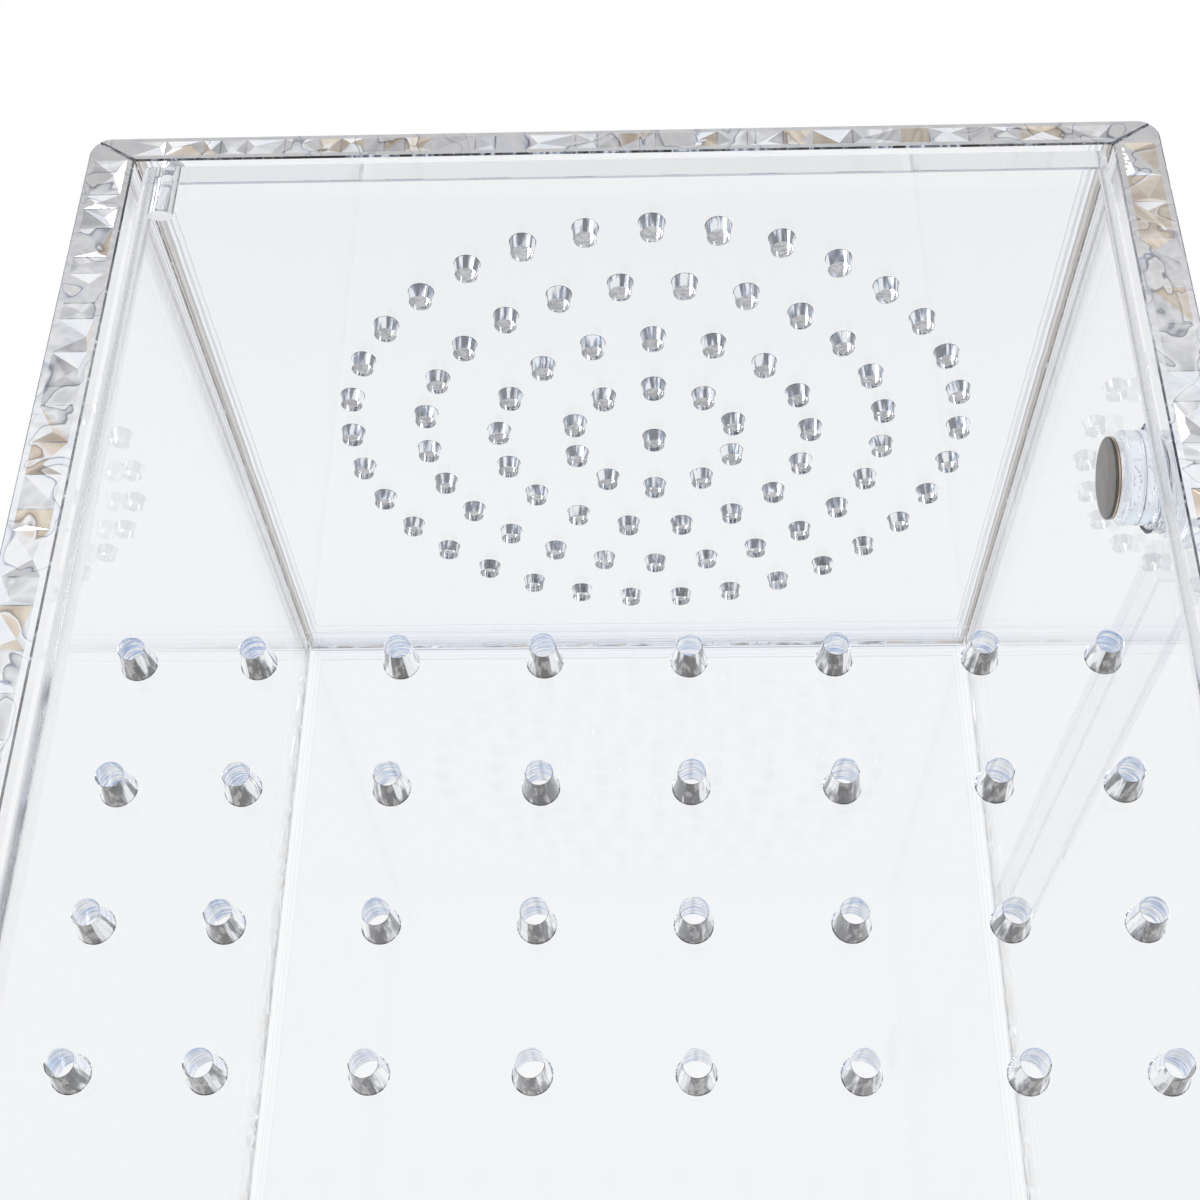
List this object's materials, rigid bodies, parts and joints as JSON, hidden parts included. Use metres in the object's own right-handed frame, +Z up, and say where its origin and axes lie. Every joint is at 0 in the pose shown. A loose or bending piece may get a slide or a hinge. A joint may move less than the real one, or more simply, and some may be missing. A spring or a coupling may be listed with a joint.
{
  "type": "jumping spider enclosure",
  "caption": "Clear acrylic box for a small climbing spider, with a vented top, a hinged vented front door and a plugged feeding port.",
  "frame": {"origin": "middle of the floor panel's underside, which the box stands on", "axes": "+Z up; -Y out of the front door; +X to the right seen from the front, through the wall with the feeding port"},
  "size_m": [0.1062, 0.1051, 0.1524],
  "materials": {
    "clear_panel": "polished clear acrylic sheet with machined cut edges",
    "clear_fitting": "polished clear acrylic rod and bar",
    "nickel_magnet": "nickel-plated magnet, satin face and bright rim"
  },
  "bodies": {
    "enclosure": {"top_panel": "clear_panel", "floor_panel": "clear_panel", "left_wall": "clear_panel", "right_wall": "clear_panel", "back_wall": "clear_panel", "side_rail": "clear_fitting", "stop_block_upper": "clear_fitting", "stop_block_lower": "clear_fitting", "block_magnet_upper": "nickel_magnet", "block_magnet_lower": "nickel_magnet"},
    "door": {"door_panel": "clear_panel", "door_pin_top": "clear_fitting", "door_pin_bottom": "clear_fitting", "door_knob": "clear_fitting", "door_magnet_upper": "nickel_magnet", "door_magnet_lower": "nickel_magnet"},
    "feeding_plug": {"plug_body": "clear_fitting", "plug_disc_outer": "clear_fitting", "plug_disc_inner": "clear_fitting", "plug_magnet": "nickel_magnet", "plug_cap": "clear_fitting"}
  },
  "joints": [
    {"name": "door_hinge", "type": "hinge", "parent": "enclosure", "child": "door", "pos_m": [-0.04325, -0.04695, 0.0045], "axis": [0, 0, -1], "range_deg": [0, 100]},
    {"name": "plug_pull", "type": "slide", "parent": "enclosure", "child": "feeding_plug", "axis": [1, 0, 0], "range_m": [0, 0.01]}
  ]
}
